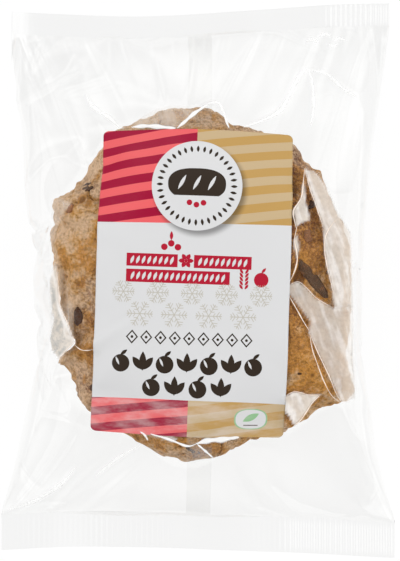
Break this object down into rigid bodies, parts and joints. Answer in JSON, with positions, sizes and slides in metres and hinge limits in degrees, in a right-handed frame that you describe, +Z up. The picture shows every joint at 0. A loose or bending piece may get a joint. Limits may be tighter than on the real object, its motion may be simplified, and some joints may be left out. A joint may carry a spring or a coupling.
{
  "type": "fruit bread",
  "caption": "Round wholegrain fruit loaf sealed in a clear film pillow bag with crimped ends and a printed paper label, lying label up.",
  "frame": {"origin": "middle of the pack on the surface it rests on, at the bottom centre of its box", "axes": "+X to the right across the pack as its label is read, +Y along it towards the label's top, +Z up out of the label"},
  "size_m": [0.1772, 0.2498, 0.0411],
  "materials": {
    "film_and_bread": "clear glossy film over a brown crust",
    "label_paper": "printed semi-gloss paper"
  },
  "bodies": {
    "root": {"bag": "film_and_bread", "label": "label_paper"}
  },
  "joints": []
}
